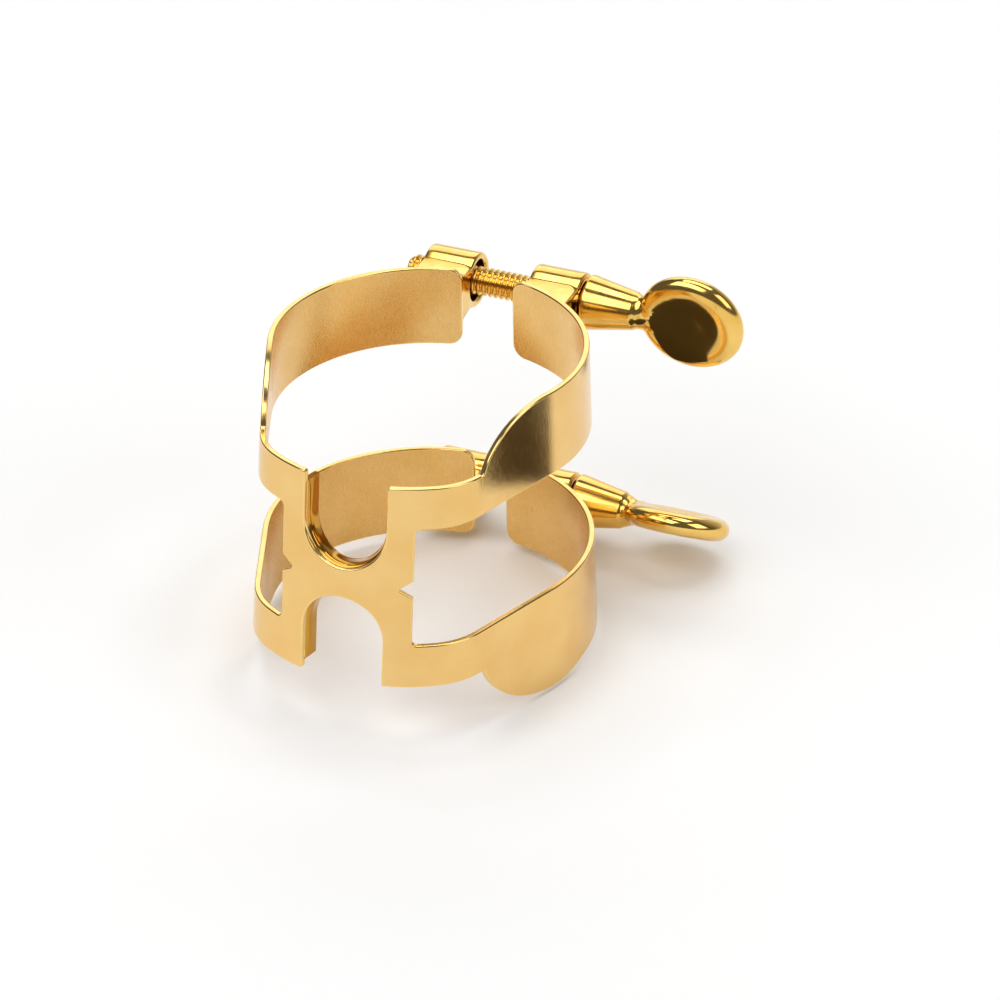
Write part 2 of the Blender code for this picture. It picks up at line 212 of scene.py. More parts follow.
def section(distance):
    """Point and outward normal of the waist's section, at a distance from the front centre line."""
    side = math.copysign(1.0, distance)
    run = abs(distance)
    centre, radius, slide = Vector((0.0, 0.0)), SIDE_RADIUS, 0.0
    if run <= BEND_START:
        heading = run / FRONT_RADIUS
        centre, radius = Vector((0.0, FRONT_RADIUS - FRONT_APEX)), FRONT_RADIUS
    elif run <= CREASE:
        heading = FRONT_HEADING + (run - BEND_START) / BEND_RADIUS
        centre, radius = BEND_CENTRE, BEND_RADIUS
    elif run <= WALL_END:
        heading, slide = WALL_HEADING, run - WALL_END
    else:
        heading = WALL_HEADING + (run - WALL_END) / SIDE_RADIUS
    normal = Vector((math.sin(heading), -math.cos(heading)))
    along = Vector((math.cos(heading), math.sin(heading)))
    point = centre + radius * normal + slide * along
    return Vector((side * point.x, point.y)), Vector((side * normal.x, normal.y))


def taper(height):
    return 1.0 - TAPER_ACROSS * height


def on_face(distance, height):
    """Point of the band's outer face and its normal, at a section distance and a height."""
    point, normal = section(distance)
    front = 1.0 - TAPER_FRONT * height if point.y < 0.0 else taper(height)
    return Vector((point.x * taper(height), point.y * front, height)), Vector((*normal, 0.0))


def wrapped(distance, height, depth):
    """Point at a depth under the outer face."""
    point, normal = on_face(distance, height)
    return point - normal * depth


def face_frame(distance, height):
    """Unit tangents across and up the face, and the outward normal."""
    step = 0.01
    across = on_face(distance + step, height)[0] - on_face(distance - step, height)[0]
    up = on_face(distance, height + step)[0] - on_face(distance, height - step)[0]
    across.normalize()
    up.normalize()
    return across, up, across.cross(up).normalized()


def band_end(band):
    """Distance along the section to a band's back end, its clearance from the middle plane."""
    heading = math.pi - math.asin(band["clearance"] / (SIDE_RADIUS * taper(band["wide"])))
    return WALL_END + SIDE_RADIUS * (heading - WALL_HEADING)


# --- the blank's outline ---------------------------------------------------------------------------

def arc(centre, radius, start, end, steps):
    """Points on an arc, angles in degrees."""
    points = []
    for step in range(steps + 1):
        angle = math.radians(start + (end - start) * step / steps)
        points.append((centre[0] + radius * math.cos(angle), centre[1] + radius * math.sin(angle)))
    return points


def bezier(start, pull_start, pull_end, end, steps):
    points = []
    for step in range(steps + 1):
        t = step / steps
        weights = ((1 - t) ** 3, 3 * t * (1 - t) ** 2, 3 * t * t * (1 - t), t ** 3)
        corners = (start, pull_start, pull_end, end)
        points.append(tuple(sum(k * c[axis] for k, c in zip(weights, corners)) for axis in (0, 1)))
    return points


def rounded(before, corner, after, radius, steps=6):
    """A corner of an outline as a tangent arc."""
    corner = Vector(corner)
    ways = [(Vector(other) - corner).normalized() for other in (before, after)]
    half = ways[0].angle(ways[1]) / 2
    setback = radius / math.tan(half)
    centre = corner + (ways[0] + ways[1]).normalized() * radius / math.sin(half)
    first, last = (corner + way * setback - centre for way in ways)
    turn = first.angle_signed(last)
    return [tuple(centre + Matrix.Rotation(-turn * step / steps, 2) @ first) for step in range(steps + 1)]


def with_rounds(points):
    """Polyline of (x, z, radius): a corner with a radius becomes an arc. The ends stay."""
    result = []
    for index, (across, height, radius) in enumerate(points):
        if radius and 0 < index < len(points) - 1:
            result += rounded(points[index - 1][:2], (across, height), points[index + 1][:2], radius)
        else:
            result.append((across, height))
    return result


def to_section(points):
    """True widths on the face become distances along the waist's section."""
    return [(width / taper(height), height) for width, height in points]


def arm_edge(band):
    """Right arm's edge from the crease's outer end round the back to the crease's inner end."""
    up = math.copysign(1.0, band["wide"])
    start = CREASE + SHOULDER_OFFSET
    rise = band["wide"] - band["narrow"]
    turn = start + SHOULDER_LENGTH
    widest = band["wide"] + band["bulge"]
    edge = bezier((start, band["narrow"]),
                  (start + SHOULDER_START[0], band["narrow"] + SHOULDER_START[1] * rise),
                  (start + SHOULDER_TOP[0], widest + SHOULDER_TOP[1] * rise), (turn, widest), 36)
    middle = turn + BULGE_LENGTH / 2
    edge += bezier((turn, widest), (middle, widest), (middle, band["wide"]),
                   (turn + BULGE_LENGTH, band["wide"]), 12)[1:]
    end = band_end(band)
    corner = END_CORNER
    edge += arc((end - corner, band["wide"] - up * corner), corner, 90 * up, 0, 8)
    edge += arc((end - corner, band["back"] + up * corner), corner, 0, -90 * up, 8)
    return edge + [(turn, band["back"])]


def resampled(points, pitch):
    """The same polyline with no stretch longer than the pitch."""
    result = []
    for first, second in zip(points, points[1:]):
        gap = math.dist(first, second)
        if gap < 1e-6:
            continue
        count = max(1, math.ceil(gap / pitch))
        result += [tuple(Vector(first).lerp(Vector(second), step / count)) for step in range(count)]
    return result + [points[-1]]


def half_outline():
    """Right half of the whole band's outline, from the slot's bottom to the arch's top."""
    slot = arc((0.0, SLOT_BOTTOM + SLOT_HALF), SLOT_HALF, -90, 0, 30)
    top = rounded(slot[-1], (SLOT_HALF, UPPER["narrow"]), (ROOT_REACH, UPPER["narrow"]), OPEN_CORNER)
    leg = with_rounds([(ROOT_REACH, UPPER["inner"], 0), (LEG_EDGE, UPPER["inner"], INNER_CORNER),
                       (LEG_EDGE, NOTCH_MOUTH[0], OPEN_CORNER), (*NOTCH_TIP, NOTCH_CORNER),
                       (LEG_EDGE, NOTCH_MOUTH[1], OPEN_CORNER), (LEG_EDGE, LOWER["inner"], INNER_CORNER),
                       (ROOT_REACH, LOWER["inner"], 0)])
    foot = rounded((ROOT_REACH, LOWER["narrow"]), (ARCH_HALF, LOWER["narrow"]), (ARCH_HALF, -6.0),
                   OPEN_CORNER)
    arch = arc((0.0, ARCH_TOP - ARCH_HALF), ARCH_HALF, 0, 90, 30)
    lower = list(reversed(arm_edge(LOWER)))
    points = to_section(slot + top) + arm_edge(UPPER) + to_section(leg) + lower + to_section(foot + arch)
    return resampled(points, FINE)


def seam_cut(points):
    """Adds a station wherever the outline crosses a seam."""
    result = [points[0]]
    for first, second in zip(points, points[1:]):
        for seam in (SEAM, -SEAM):
            if (first[0] - seam) * (second[0] - seam) < 0:
                share = (seam - first[0]) / (second[0] - first[0])
                result.append((seam, first[1] + share * (second[1] - first[1])))
        result.append(second)
    return result


def lip_state(across, height):
    """Whether a station has the lip (1 or 0), and how fully its groove and crown are formed there."""
    width = abs(across) * taper(height)
    ease = 0.0
    if height > 0.0 and width < SLOT_HALF + 0.02:
        ease = UPPER["narrow"] - SLOT_LIP_DROP - height
    elif height < 0.0 and width < ARCH_HALF + 0.02:
        ease = height - ARCH_LIP_END
    return (1 if ease > 0.0 else 0), 0.4 + 0.6 * eased(0.0, LIP_FADE, ease)


def lip_ends(points):
    """Adds a pair of stations, close together, where a lip stops."""
    result = [points[0]]
    for first, second in zip(points, points[1:]):
        if lip_state(*first)[0] != lip_state(*second)[0]:
            low, high = 0.0, 1.0
            for _ in range(40):
                middle = (low + high) / 2
                state = lip_state(*Vector(first).lerp(Vector(second), middle))[0]
                low, high = (middle, high) if state == lip_state(*first)[0] else (low, middle)
            for share in (low - 0.02, high + 0.02):
                result.append(tuple(Vector(first).lerp(Vector(second), min(1.0, max(0.0, share)))))
        result.append(second)
    kept = [result[0]]
    kept += [point for before, point in zip(result, result[1:]) if math.dist(point, before) > 1e-5]
    return kept


def whole_outline():
    """Closed outline of the whole band, mirrored from its right half."""
    right = lip_ends(seam_cut(half_outline()))
    left = [(-across, height) for across, height in reversed(right)]
    return right[:-1] + left[:-1]


def edge_normals(points):
    """Outward normals of the closed outline, which runs with the metal on its right."""
    count = len(points)
    normals = []
    for index in range(count):
        before, here, after = (Vector(points[(index + shift) % count]) for shift in (-1, 0, 1))
        ways = [(here - before).normalized(), (after - here).normalized()]
        along = (ways[0] + ways[1]).normalized()
        normals.append(Vector((-along.y, along.x)))
    return normals


# --- the sheet -------------------------------------------------------------------------------------

def quarter(centre, radius, start, end, steps):
    """Rim points of a rounded corner with their normals, as (outwards, inwards) pairs."""
    points = []
    for step in range(steps + 1):
        angle = math.radians(start + (end - start) * step / steps)
        way = (math.cos(angle), math.sin(angle))
        points.append((centre[0] + radius * way[0], centre[1] + radius * way[1], *way))
    return points


def rim_profile(lip, formed):
    """Rim from the outer face to the inner face: offset, depth and normal in the edge's plane."""
    depth = LIP_DEPTH if lip else SHEET
    small = EDGE_ROUND
    rim = quarter((-small, small), small, -90, 0, 4)
    for out, inwards, slope in LIP_WALL:
        if lip:
            way = Vector((1.0, slope * formed)).normalized()
            rim.append((out * formed, inwards, *way))
        else:
            rim.append((0.0, small + (SHEET - 2 * small) * inwards / LIP_DEPTH, 1.0, 0.0))
    rim += quarter((-small, depth - small), small, 0, 90, 4)
    if lip:
        back = -LIP_THICKNESS
        rim += quarter((back + small, depth - small), small, 90, 180, 3)
        rim += quarter((back - LIP_FILLET, SHEET + LIP_FILLET), -LIP_FILLET, 180, 90, 3)
    else:
        rim += [(-small - INNER_INSET * step, SHEET, 0.0, 1.0) for step in range(1, 9)]
    return rim


def stations():
    """Rim of the whole sheet: for each station its blank coordinates and its rim's vertices."""
    outline = whole_outline()
    rims = []
    for (across, height), outward in zip(outline, edge_normals(outline)):
        tangent, up, normal = face_frame(across, height)
        edge = (tangent * outward.x + up * outward.y).normalized()
        ring = []
        for offset, depth, sideways, inwards in rim_profile(*lip_state(across, height)):
            blank = (across + outward.x * offset, height + outward.y * offset, depth)
            ring.append((blank, (edge * sideways - normal * inwards).normalized()))
        rims.append(((across, height), ring))
    return rims


def inside(point, polygon):
    """True where a point lies in the polygon and clear of its edges."""
    x, y = point
    result = False
    previous = polygon[-1]
    for current in polygon:
        (x0, y0), (x1, y1) = previous, current
        if abs(y - y0) < NEARBY and abs(x - x0) < NEARBY:
            run = (x1 - x0) ** 2 + (y1 - y0) ** 2
            share = max(0.0, min(1.0, ((x - x0) * (x1 - x0) + (y - y0) * (y1 - y0)) / (run or 1.0)))
            if math.dist(point, (x0 + share * (x1 - x0), y0 + share * (y1 - y0))) < INSIDE_MARGIN:
                return False
        if (y0 > y) != (y1 > y) and x < x0 + (y - y0) * (x1 - x0) / (y1 - y0):
            result = not result
        previous = current
    return result


class Sheet:
    """Collects vertices with blank coordinates and normals, and faces with a material index."""

    def __init__(self):
        self.blanks, self.normals, self.faces, self.kinds = [], [], [], []

    def vertex(self, blank, normal):
        self.blanks.append(blank)
        self.normals.append(normal)
        return len(self.blanks) - 1

    def face(self, corners, kind):
        corners = [corner for index, corner in enumerate(corners) if corner != corners[index - 1]]
        if len(corners) > 2:
            self.faces.append(corners)
            self.kinds.append(kind)

    def fill(self, loop, depth, flip, kind):
        """Triangulates a closed loop of vertices on one face of the sheet, with points inside it."""
        polygon = [self.blanks[index][:2] for index in loop]
        points, owners = list(polygon), list(loop)
        low = [min(point[axis] for point in polygon) for axis in (0, 1)]
        high = [max(point[axis] for point in polygon) for axis in (0, 1)]
        columns = math.ceil((high[0] - low[0]) / FILL_PITCH[0])
        rows = math.ceil((high[1] - low[1]) / FILL_PITCH[1])
        for column in range(1, columns):
            for row in range(1, rows):
                place = (low[0] + (high[0] - low[0]) * column / columns,
                         low[1] + (high[1] - low[1]) * (row + 0.5 * (column % 2)) / rows)
                if inside(place, polygon):
                    normal = face_frame(*place)[2] * (-1.0 if flip else 1.0)
                    points.append(place)
                    owners.append(self.vertex((*place, depth), normal))
        count = len(loop)
        result = delaunay_2d_cdt([Vector(point) for point in points], [], [list(range(count))], 1, 1e-7)
        origins = [owners[origin[0]] for origin in result[3]]
        for triangle in result[2]:
            corners = [origins[index] for index in triangle]
            self.face(corners[::-1] if flip else corners, kind)

    def mesh(self, name, materials):
        mesh = bpy.data.meshes.new(name)
        mesh.from_pydata([wrapped(*blank) * MM for blank in self.blanks], [], self.faces)
        for material in materials:
            mesh.materials.append(material)
        mesh.polygons.foreach_set("material_index", self.kinds)
        layer = mesh.uv_layers.new(name="blank")
        for loop in mesh.loops:
            across, height, _ = self.blanks[loop.vertex_index]
            layer.data[loop.index].uv = (across / 10.0, height / 10.0)
        mesh.shade_smooth()
        mesh.normals_split_custom_set_from_vertices([tuple(normal) for normal in self.normals])
        return mesh


def chains(rims, belongs):
    """Stretches of the closed outline that belong to one piece, each from seam to seam."""
    count = len(rims)
    mine = [belongs(*rims[index][0]) for index in range(count)]
    start = next((index for index in range(count) if mine[index] and not mine[index - 1]), 0)
    found, current = [], []
    for step in range(count):
        index = (start + step) % count
        if mine[index]:
            current.append(index)
        elif current:
            found.append(current)
            current = []
    return found + ([current] if current else [])


def sheet_piece(name, rims, belongs, materials):
    """One piece of the band: its rims, its two faces and flat ends at the seams."""
    sheet = Sheet()
    rings = []
    for chain in chains(rims, belongs):
        rings.append([[sheet.vertex(blank, normal) for blank, normal in rims[index][1]] for index in chain])
    beneath = SHEET + 0.02
    for chain in rings:
        for first, second in zip(chain, chain[1:]):
            for step, (a, b, c, d) in enumerate(zip(first, second, second[1:], first[1:])):
                # Faces below the sheet's depth, on the lip's rail, take the darker amber gold: a painted
                # reflection of the reed.
                deep_with_painted_reflection = sheet.blanks[a][2] > beneath or (sheet.blanks[d][2] > beneath and step > 6)
                sheet.face([a, b, c, d], RAIL_PAINTED_REFLECTION_FACE if deep_with_painted_reflection else RIM_FACE)
    outer, inner = [], []
    for index, chain in enumerate(rings):
        after = rings[(index + 1) % len(rings)][0]
        ends = (chain[-1], after)
        seams = []
        for slot in (0, -1):
            start, stop = (sheet.blanks[end[slot]] for end in ends)
            line = []
            for step in range(1, SEAM_STEPS):
                blank = tuple(a + (b - a) * step / SEAM_STEPS for a, b in zip(start, stop))
                normal = face_frame(*blank[:2])[2]
                line.append(sheet.vertex(blank, normal if slot == 0 else -normal))
            seams.append(line)
        outer += [ring[0] for ring in chain] + seams[0]
        inner += [ring[-1] for ring in chain] + seams[1]
        sheet.face(seams[0] + after + seams[1][::-1] + chain[-1][::-1], INNER_FACE)
    sheet.fill(outer, 0.0, False, OUTER_FACE)
    sheet.fill(inner, SHEET, True, INNER_FACE)
    thing = bpy.data.objects.new(name, sheet.mesh(name, materials))
    bpy.context.scene.collection.objects.link(thing)
    return thing


def band_pieces(materials):
    """The plate, which stays put, and four arms, each running from a seam short of its crease round the bend
    to its end.
    """
    rims = stations()
    plate = sheet_piece("reed_plate", rims, lambda across, height: abs(across) < SEAM + 1e-6, materials)
    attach(plate, "plate")
    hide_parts("front_plate")
    for level, up in (("upper", 1), ("lower", -1)):
        for side, sign in (("right", 1), ("left", -1)):
            def belongs(across, height, up=up, sign=sign):
                return across * sign > SEAM - 1e-6 and height * up > 0
            arm = sheet_piece(f"{level}_{side}_band", rims, belongs, materials)
            spots = [(sign * (CREASE + shift), BLEND_HEIGHT * up) for shift in BLEND_SHIFTS]
            start, end = (wrapped(*spot, SHEET / 2) * MM for spot in spots)
            tuple(start)
            tuple(end)
            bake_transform(arm)
            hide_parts(f"{level}_{side}_arm")


# --- posts -----------------------------------------------------------------------------------------

def placed(name, vertices, faces, material, body, node, normals=None):
    """A mesh in mm as a piece of one body, in place of one CAD node."""
    mesh = bpy.data.meshes.new(name)
    mesh.from_pydata([Vector(vertex) * MM for vertex in vertices], [], faces)
    mesh.materials.append(material)
    mesh.shade_smooth()
    thing = bpy.data.objects.new(name, mesh)
    bpy.context.scene.collection.objects.link(thing)
    if normals:
        mesh.normals_split_custom_set_from_vertices(normals)
    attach(thing, body)
    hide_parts(node)
    return thing


def post_section(radius):
    """Half a post's section from its back to its foot's middle: y, z, share of the foot, flare."""
    junction = math.degrees(math.asin(FOOT_HALF / radius))
    last = 180.0 - junction
    points = []
    for step in range(BARREL_STEPS + 1):
        angle = math.radians(last * step / BARREL_STEPS)
        points.append((radius * math.cos(angle), radius * math.sin(angle), 0.0, 0.0))
    for share in FOOT_SHARES:
        points.append((points[BARREL_STEPS][0], FOOT_HALF, share, FOOT_FLARE * share ** 4))
    width = FOOT_HALF + FOOT_FLARE
    points += [(points[BARREL_STEPS][0], width * (1.0 - step / 5), 1.0, 0.0) for step in range(1, 6)]
    return points


def bore_angles(half_count):
    """One angle for each point of a post's whole cross-section, all of them different."""
    last = math.pi - math.asin(FOOT_HALF / POST_RADIUS)
    rest = half_count - 1 - BARREL_STEPS
    half = [last * step / BARREL_STEPS for step in range(BARREL_STEPS + 1)]
    half += [last + (math.pi - last) * step / rest for step in range(1, rest + 1)]
    return half + [-angle for angle in reversed(half[1:-1])]


def ring_normals(ring):
    """Outward normals of a closed ring that runs anticlockwise."""
    normals = []
    for index in range(len(ring)):
        before, after = Vector(ring[index - 1]), Vector(ring[(index + 1) % len(ring)])
        along = after - before
        normals.append(Vector((along.y, -along.x)).normalized())
    return normals


def post_slices():
    """Places along a barrel from end to end, and how far its rounded edge is cut back at each."""
    reach = POST_LENGTH / 2
    turns = [math.radians(angle) for angle in ROUND_ANGLES]
    slices = [(-reach + POST_ROUND * (1 - math.cos(turn)), POST_ROUND * (1 - math.sin(turn)))
              for turn in turns]
    straight = POST_LENGTH - 2 * POST_ROUND
    slices += [(-reach + POST_ROUND + straight * step / 7, 0.0) for step in range(1, 7)]
    return slices + [(-place, cut) for place, cut in reversed(slices[:len(turns)])]


def post_ring(cross, x, axis_y, axis_z):
    """Outline of a post's slice about its axis: the barrel, with its foot drawn down into the band."""
    ring = []
    for y, z, share, flare in cross:
        wide = z + math.copysign(flare, z) if flare else z
        radius = SIDE_RADIUS * taper(axis_z + wide)
        seat = math.sqrt(radius ** 2 - x ** 2) - FOOT_SINK - axis_y
        ring.append((y + (seat - y) * share, wide))
    return ring


def tube_faces(rings, count):
    """Faces of a closed tube, whose last ring joins its first."""
    faces = []
    for ring in range(rings):
        following = (ring + 1) % rings
        for spot in range(count):
            after = (spot + 1) % count
            faces.append((ring * count + spot, ring * count + after,
                          following * count + after, following * count + spot))
    return faces


def post(level, side, material):
    """Turned barrel on a foot that is flared where it is soldered to the band."""
    axis_y, axis_z = SCREW_AXIS[level]
    centre = POST_CENTRE[level] * (1 if side == "right" else -1)
    half = post_section(POST_RADIUS)
    cross = half + [(y, -z, share, flare) for y, z, share, flare in reversed(half[1:-1])]
    slices = post_slices()
    vertices = []
    for place, cut in slices:
        ring = post_ring(cross, centre + place, axis_y, axis_z)
        for (y, z), normal, spot in zip(ring, ring_normals(ring), cross):
            shrink = cut * (1.0 - spot[2])
            vertices.append((centre + place, axis_y + y - normal.x * shrink, axis_z + z - normal.y * shrink))
    mouths = [(POST_LENGTH / 2 - depth, BORE_RADIUS[side] + wider) for depth, wider in BORE_MOUTH]
    mouths += [(-place, radius) for place, radius in reversed(mouths)]
    for place, radius in mouths:
        for angle in bore_angles(len(half)):
            y, z = radius * math.cos(angle), radius * math.sin(angle)
            vertices.append((centre + place, axis_y + y, axis_z + z))
    faces = tube_faces(len(slices) + len(mouths), len(cross))
    thing = placed(f"{level}_{side}_barrel", vertices, faces, material, f"{level}_{side}",
                   f"{level}_{side}_post")
    thing.data.set_sharp_from_angle(angle=math.radians(SHARP_ANGLE))
    weighted = thing.modifiers.new("even shading", "WEIGHTED_NORMAL")
    weighted.keep_sharp = True
    return thing


# --- thumb screws ----------------------------------------------------------------------------------

def smooth_least(a, b, width):
    """Smooth minimum of two distances, which leaves a fillet where they meet."""
    share = max(width - abs(a - b), 0.0) / width
    return min(a, b) - share * share * width / 4.0


def eased(low, high, value):
    """Smooth step from 0 at low to 1 at high."""
    share = min(1.0, max(0.0, (value - low) / (high - low)))
    return share * share * (3.0 - 2.0 * share)


def stem_distance(x, radius):
    """Distance to the cone, its collar and the neck, which run along the axis from the cone's base."""
    slope = (CONE_RADII[0] - CONE_RADII[1]) / CONE_LENGTH
    outside = radius - CONE_RADII[0] + slope * x
    beyond = abs(x - CONE_LENGTH / 2) - CONE_LENGTH / 2
    cone = max(outside, beyond)
    inner = Vector((max(outside + CONE_ROUND, 0.0), max(beyond + CONE_ROUND, 0.0)))
    rounded_cone = max(cone, inner.length - CONE_ROUND) if inner.x and inner.y else cone
    slim = NECK_RADII[0] + (NECK_RADII[1] - NECK_RADII[0]) * eased(CONE_LENGTH + 0.1, NECK_END, x)
    neck = max(radius - slim, abs(x - NECK_END / 2) - NECK_END / 2)
    return smooth_least(rounded_cone, neck, COLLAR_FILLET)


def paddle_distance(x, thick, wide):
    """Distance to the round paddle: a shallow dish inside a broad rounded rim."""
    spread = math.hypot(x - PADDLE_CENTRE, wide)
    if spread < RIM_MIDDLE:
        rise = (PADDLE_HALF - FLOOR_HALF) * eased(DISH_FLAT, RIM_MIDDLE, spread)
        return abs(thick) - FLOOR_HALF - rise
    out = (spread - RIM_MIDDLE) / (PADDLE_RADIUS - RIM_MIDDLE)
    return (math.hypot(out, thick / PADDLE_HALF) - 1.0) * PADDLE_HALF


def head_distance(x, thick, wide):
    """Distance to the whole head: the stem runs into the paddle with a fillet."""
    stem = stem_distance(x, math.hypot(thick, wide))
    return smooth_least(stem, paddle_distance(x, thick, wide), STEM_FILLET)


def head_radius(x, angle):
    """Distance from the axis to the head's surface, straight out at an angle to its broad plane."""
    low, high = 0.0, HEAD_REACH
    wide, thick = math.cos(angle), math.sin(angle)
    for _ in range(28):
        middle = (low + high) / 2
        if head_distance(x, middle * thick, middle * wide) < 0.0:
            low = middle
        else:
            high = middle
    return low


def head_normal(x, thick, wide):
    """Normal of the head's surface, from the slope of the distance to it."""
    step = 0.004
    slopes = []
    for shift in ((step, 0, 0), (0, step, 0), (0, 0, step)):
        ahead = head_distance(x + shift[0], thick + shift[1], wide + shift[2])
        behind = head_distance(x - shift[0], thick - shift[1], wide - shift[2])
        slopes.append(ahead - behind)
    return Vector(slopes).normalized()


def head_angles():
    """Angles round the axis, closer together towards the paddle's thin rim."""
    turns = [step * math.tau / HEAD_SIDES for step in range(HEAD_SIDES)]
    return [turn - 0.36 * math.sin(2.0 * turn) for turn in turns]


def head_stations():
    """Places along the axis: close together at the cone's ends and the paddle's far rim."""
    end = PADDLE_CENTRE + PADDLE_RADIUS
    places = [0.004, 0.03, 0.08, 0.15, 0.25, 0.4]
    places += [0.4 + (CONE_LENGTH - 0.8) * step / 8 for step in range(1, 9)]
    places += [CONE_LENGTH - 0.4 + 1.2 * step / 16 for step in range(1, 17)]
    start = places[-1]
    places += [start + (end - start) * math.sin(math.pi / 2 * step / 70) for step in range(1, 70)]
    return places + [end - 0.0008]


def grid_faces(rings, count, first):
    """Faces between rings of vertices, one ring after another along the axis."""
    faces = []
    for ring in range(rings - 1):
        for spot in range(count):
            after = (spot + 1) % count
            base = first + ring * count
            faces.append((base + spot, base + after, base + count + after, base + count + spot))
    return faces


def screw_head():
    """Vertices, faces and normals of the head in the screw's frame: axis, paddle's normal, width."""
    vertices, normals = [], []
    angles = head_angles()
    stations_along = head_stations()
    for x in stations_along:
        for angle in angles:
            radius = head_radius(x, angle)
            spot = (x, radius * math.sin(angle), radius * math.cos(angle))
            vertices.append(spot)
            normals.append(head_normal(*spot))
    count = len(angles)
    faces = grid_faces(len(stations_along), count, 0)
    faces.append(tuple(range(count))[::-1])
    last = (len(stations_along) - 1) * count
    faces.append(tuple(range(last, last + count)))
    return vertices, faces, normals


def thread_radius(x, angle):
    """Shank's radius: a rolled thread that runs out towards the head and at the tip."""
    turn = (x / THREAD_PITCH + angle / math.tau) % 1.0
    groove = 0.5 + 0.5 * math.cos(math.tau * turn)
    groove = groove ** THREAD_SHARPNESS * THREAD_DEPTH
    from_tip = x + SHANK_LENGTH
    fade = eased(0.0, THREAD_RUNOUT[0], from_tip)
    fade *= 1.0 - eased(THREAD_LENGTH - THREAD_RUNOUT[1], THREAD_LENGTH, from_tip)
    chamfer = max(0.0, TIP_CHAMFER[0] - from_tip) * TIP_CHAMFER[1]
    return SHANK_RADIUS - groove * fade - chamfer


def shank(first):
    """Threaded shank, closed at both ends and sunk a little into the cone's base."""
    count = SHANK_SIDES
    steps = int(THREAD_LENGTH / THREAD_PITCH * 8)
    places = [-SHANK_LENGTH + THREAD_LENGTH * step / steps for step in range(steps + 1)]
    plain = SHANK_LENGTH - THREAD_LENGTH + SHANK_SUNK
    places += [places[-1] + plain * step / 6 for step in range(1, 7)]
    vertices, normals = [], []
    for x in places:
        for spot in range(count):
            angle = math.tau * spot / count
            radius = thread_radius(x, angle)
            slope = (thread_radius(x + 0.01, angle) - thread_radius(x - 0.01, angle)) / 0.02
            vertices.append((x, radius * math.sin(angle), radius * math.cos(angle)))
            normals.append(Vector((-slope, math.sin(angle), math.cos(angle))).normalized())
    faces = grid_faces(len(places), count, first)
    faces.append(tuple(range(first, first + count))[::-1])
    last = first + (len(places) - 1) * count
    faces.append(tuple(range(last, last + count)))
    return vertices, faces, normals


def thumb_screw(level, material):
    """One screw: its head and its threaded shank, turned so that the paddle stands as at rest."""
    axis_y, axis_z = SCREW_AXIS[level]
    base = POST_CENTRE[level] + POST_LENGTH / 2 + CONE_GAP
    turn = PADDLE_TURN[level]
    normal = Vector((0.0, -math.cos(turn), -math.sin(turn)))
    wide = Vector((0.0, -math.sin(turn), math.cos(turn)))
    vertices, faces, normals = screw_head()
    more = shank(len(vertices))
    vertices, faces, normals = vertices + more[0], faces + more[1], normals + more[2]
    origin = Vector((base, axis_y, axis_z))
    along = Vector((1.0, 0.0, 0.0))
    spots = [origin + along * x + normal * t + wide * w for x, t, w in vertices]
    ways = [tuple(along * x + normal * t + wide * w) for x, t, w in normals]
    return placed(f"{level}_screw_head", spots, faces, material, f"{level}_screw",
                  f"{level}_thumb_screw", ways)


# --- materials -------------------------------------------------------------------------------------

class Nodes:
    """Short names for building a node tree."""

    def __init__(self, material):
        material.use_nodes = True
        self.tree = material.node_tree
        self.shader = self.tree.nodes["Principled BSDF"]

    def add(self, kind, settings=None, **inputs):
        node = self.tree.nodes.new(kind)
        for key, value in (settings or {}).items():
            setattr(node, key, value)
        for key, value in inputs.items():
            self.put(node.inputs[key.replace("_", " ")], value)
        return node

    def put(self, socket, value):
        if hasattr(value, "is_output"):
            self.tree.links.new(value, socket)
        else:
            socket.default_value = value

    def noise(self, place, scale, detail=4.0, roughness=0.6):
        return self.add("ShaderNodeTexNoise", Vector=place, Scale=scale, Detail=detail, Roughness=roughness)

    def ramp(self, value, stops):
        node = self.add("ShaderNodeValToRGB", Fac=value)
        ramp = node.color_ramp
        ramp.elements[0].position, ramp.elements[0].color = stops[0]
        ramp.elements[1].position, ramp.elements[1].color = stops[-1]
        for position, colour in stops[1:-1]:
            ramp.elements.new(position).color = colour
        return node.outputs["Color"]

    def span(self, value, low, high, start=0.3, stop=0.7):
        node = self.add("ShaderNodeMapRange")
        for key, number in (("From Min", start), ("From Max", stop), ("To Min", low), ("To Max", high)):
            node.inputs[key].default_value = number
        self.put(node.inputs["Value"], value)
        return node.outputs["Result"]

    def scaled(self, place, factors):
        node = self.add("ShaderNodeMapping", Vector=place, Scale=factors)
        return node.outputs["Vector"]

    def bump(self, height, strength, distance, under=None):
        node = self.add("ShaderNodeBump", Height=height, Strength=strength, Distance=distance)
        if under is not None:
            self.put(node.inputs["Normal"], under)
        return node.outputs["Normal"]


